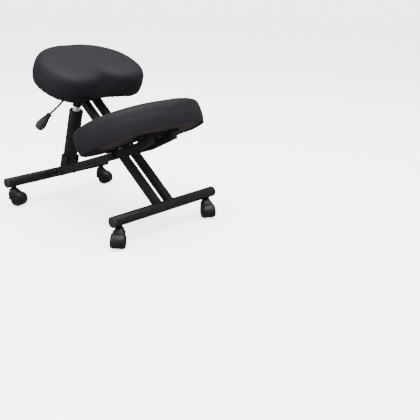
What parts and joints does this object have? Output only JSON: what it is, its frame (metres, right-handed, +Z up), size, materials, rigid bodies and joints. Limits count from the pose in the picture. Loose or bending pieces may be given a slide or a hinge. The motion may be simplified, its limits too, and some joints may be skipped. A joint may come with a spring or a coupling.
{
  "type": "kneeling chair",
  "caption": "Kneeling chair: crossed pairs of square steel rails on twin-wheel casters, tilted saddle seat raised by a gas lift, and a notched knee pad.",
  "frame": {"origin": "on the floor, under the middle of the whole chair", "axes": "+Z up; the sitter faces -Y, so the seat is at +Y and the knee pad at -Y; +X is the sitter's left"},
  "size_m": [0.5204, 0.6828, 0.6045],
  "materials": {
    "powder_coat": "gloss black powder coat",
    "moulded_plastic": "satin black moulding",
    "plated_steel": "bright zinc plate",
    "chrome": "polished",
    "cushion_cover": "smooth black coated fabric, soft sheen",
    "seat_ply": "dark stained board"
  },
  "bodies": {
    "lower_frame": {"rear_bar": "powder_coat", "rear_cap_right": "moulded_plastic", "rear_cap_left": "moulded_plastic", "lower_rail_right": "powder_coat", "lower_rail_left": "powder_coat", "rail_plug_right": "moulded_plastic", "rail_plug_left": "moulded_plastic", "lower_tie_plate": "powder_coat", "cross_bolt": "plated_steel", "cross_washer_right": "moulded_plastic", "cross_washer_left": "moulded_plastic", "cross_spacer": "plated_steel", "column_bolt": "plated_steel", "knee_strap": "powder_coat", "knee_screw_rear_right": "plated_steel", "knee_screw_rear_left": "plated_steel", "knee_screw_middle_right": "plated_steel", "knee_screw_middle_left": "plated_steel", "knee_screw_front_right": "plated_steel", "knee_screw_front_left": "plated_steel", "knee_board": "seat_ply", "knee_cushion": "cushion_cover", "rear_right_stem": "plated_steel", "rear_left_stem": "plated_steel"},
    "upper_frame": {"front_bar": "powder_coat", "front_cap_right": "moulded_plastic", "front_cap_left": "moulded_plastic", "upper_rail_right": "powder_coat", "upper_rail_left": "powder_coat", "seat_bracket": "powder_coat", "seat_pivot_bolt": "plated_steel", "rail_bolt_1": "plated_steel", "rail_bolt_2": "plated_steel", "lever_pin": "plated_steel", "seat_board": "seat_ply", "seat_cushion": "cushion_cover", "front_right_stem": "plated_steel", "front_left_stem": "plated_steel"},
    "column": {"column_foot": "powder_coat", "column_tube": "powder_coat", "column_guide": "moulded_plastic", "lift_rod": "chrome"},
    "lift": {"lift_cylinder": "chrome", "lift_socket": "moulded_plastic", "release_button": "plated_steel"},
    "lever": {"lever_rod": "powder_coat", "lever_grip": "moulded_plastic"},
    "rear_right_swivel": {"rear_right_hood": "moulded_plastic"},
    "rear_right_wheel_a": {"rear_right_wheel_a": "moulded_plastic"},
    "rear_right_wheel_b": {"rear_right_wheel_b": "moulded_plastic"},
    "rear_left_swivel": {"rear_left_hood": "moulded_plastic"},
    "rear_left_wheel_a": {"rear_left_wheel_a": "moulded_plastic"},
    "rear_left_wheel_b": {"rear_left_wheel_b": "moulded_plastic"},
    "front_right_swivel": {"front_right_hood": "moulded_plastic"},
    "front_right_wheel_a": {"front_right_wheel_a": "moulded_plastic"},
    "front_right_wheel_b": {"front_right_wheel_b": "moulded_plastic"},
    "front_left_swivel": {"front_left_hood": "moulded_plastic"},
    "front_left_wheel_a": {"front_left_wheel_a": "moulded_plastic"},
    "front_left_wheel_b": {"front_left_wheel_b": "moulded_plastic"}
  },
  "joints": [
    {"name": "seat_height", "type": "hinge", "parent": "lower_frame", "child": "upper_frame", "pos_m": [0.00521, -0.09633, 0.24777], "axis": [1, 0, 0], "range_deg": [0, 18]},
    {"name": "column_tilt", "type": "hinge", "parent": "lower_frame", "child": "column", "pos_m": [0.00521, 0.25175, 0.11777], "axis": [1, 0, 0], "range_deg": [0, 6.4]},
    {"name": "lift_stroke", "type": "slide", "parent": "column", "child": "lift", "axis": [0, -0.2656, 0.9641], "range_m": [0, 0.0938]},
    {"name": "release_lever", "type": "hinge", "parent": "upper_frame", "child": "lever", "pos_m": [-0.0468, 0.17323, 0.44151], "axis": [0, 1, 0], "range_deg": [0, 5], "stiffness_Nm_per_rad": 1, "springref_deg": -4.58},
    {"name": "rear_right_swivel_turn", "type": "hinge", "parent": "lower_frame", "child": "rear_right_swivel", "pos_m": [-0.2108, 0.32075, 0.06], "axis": [0, 0, 1], "continuous": true},
    {"name": "rear_right_roll_a", "type": "hinge", "parent": "rear_right_swivel", "child": "rear_right_wheel_a", "pos_m": [-0.20187, 0.30397, 0.025], "axis": [-0.8829, -0.4695, 0], "continuous": true},
    {"name": "rear_right_roll_b", "type": "hinge", "parent": "rear_right_swivel", "child": "rear_right_wheel_b", "pos_m": [-0.20187, 0.30397, 0.025], "axis": [-0.8829, -0.4695, 0], "continuous": true},
    {"name": "rear_left_swivel_turn", "type": "hinge", "parent": "lower_frame", "child": "rear_left_swivel", "pos_m": [0.22121, 0.32075, 0.06], "axis": [0, 0, 1], "continuous": true},
    {"name": "rear_left_roll_a", "type": "hinge", "parent": "rear_left_swivel", "child": "rear_left_wheel_a", "pos_m": [0.22893, 0.30339, 0.025], "axis": [-0.9135, -0.4067, 0], "continuous": true},
    {"name": "rear_left_roll_b", "type": "hinge", "parent": "rear_left_swivel", "child": "rear_left_wheel_b", "pos_m": [0.22893, 0.30339, 0.025], "axis": [-0.9135, -0.4067, 0], "continuous": true},
    {"name": "front_right_swivel_turn", "type": "hinge", "parent": "upper_frame", "child": "front_right_swivel", "pos_m": [-0.2108, -0.29125, 0.06], "axis": [0, 0, 1], "continuous": true},
    {"name": "front_right_roll_a", "type": "hinge", "parent": "front_right_swivel", "child": "front_right_wheel_a", "pos_m": [-0.22597, -0.30269, 0.025], "axis": [-0.6018, 0.7986, 0], "continuous": true},
    {"name": "front_right_roll_b", "type": "hinge", "parent": "front_right_swivel", "child": "front_right_wheel_b", "pos_m": [-0.22597, -0.30269, 0.025], "axis": [-0.6018, 0.7986, 0], "continuous": true},
    {"name": "front_left_swivel_turn", "type": "hinge", "parent": "upper_frame", "child": "front_left_swivel", "pos_m": [0.22121, -0.29125, 0.06], "axis": [0, 0, 1], "continuous": true},
    {"name": "front_left_roll_a", "type": "hinge", "parent": "front_left_swivel", "child": "front_left_wheel_a", "pos_m": [0.21229, -0.30803, 0.025], "axis": [-0.8829, 0.4695, 0], "continuous": true},
    {"name": "front_left_roll_b", "type": "hinge", "parent": "front_left_swivel", "child": "front_left_wheel_b", "pos_m": [0.21229, -0.30803, 0.025], "axis": [-0.8829, 0.4695, 0], "continuous": true}
  ],
  "couplings": [
    {"joint": "column_tilt", "follows": "seat_height", "ratio": 0.35},
    {"joint": "lift_stroke", "follows": "seat_height", "m_per_rad": 0.2965}
  ]
}
